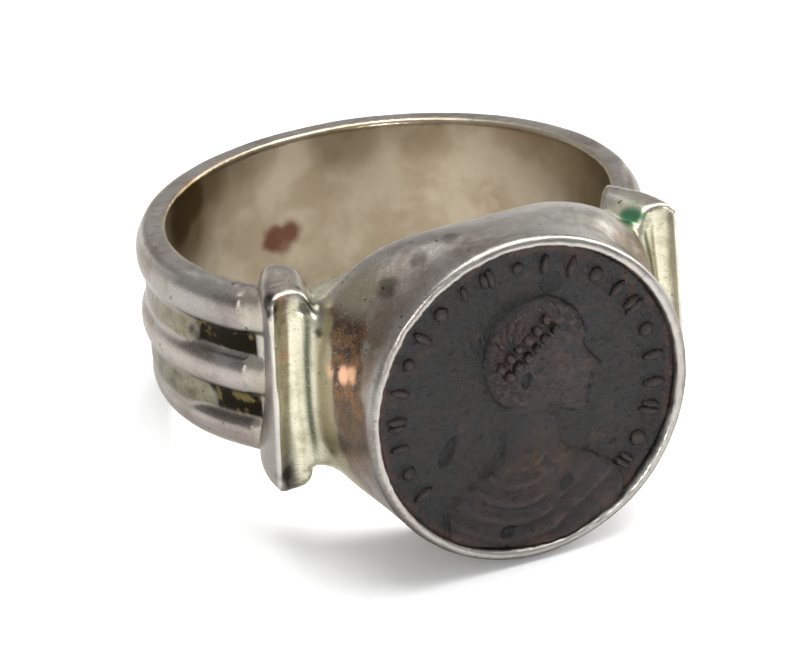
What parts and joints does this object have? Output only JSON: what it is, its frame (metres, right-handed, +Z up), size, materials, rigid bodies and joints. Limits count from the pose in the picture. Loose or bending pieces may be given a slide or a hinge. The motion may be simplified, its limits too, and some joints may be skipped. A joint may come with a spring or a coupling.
{
  "type": "coin ring",
  "caption": "Silver finger ring with a ribbed band, upright shoulder bars and a round head that holds an old, worn bronze coin.",
  "frame": {"origin": "the middle of the ring's box, on the surface it lies on", "axes": "+Z up from the table, -Y towards the coin, +X to the right as the coin is seen"},
  "size_m": [0.0232, 0.0276, 0.0156],
  "materials": {
    "silver": "worn, tarnished silver, satin with bright edges",
    "coin_bronze": "dark brown patina, rough, with coppery high spots"
  },
  "bodies": {
    "root": {"shank_with_bezel": "silver", "coin": "coin_bronze"}
  },
  "joints": []
}
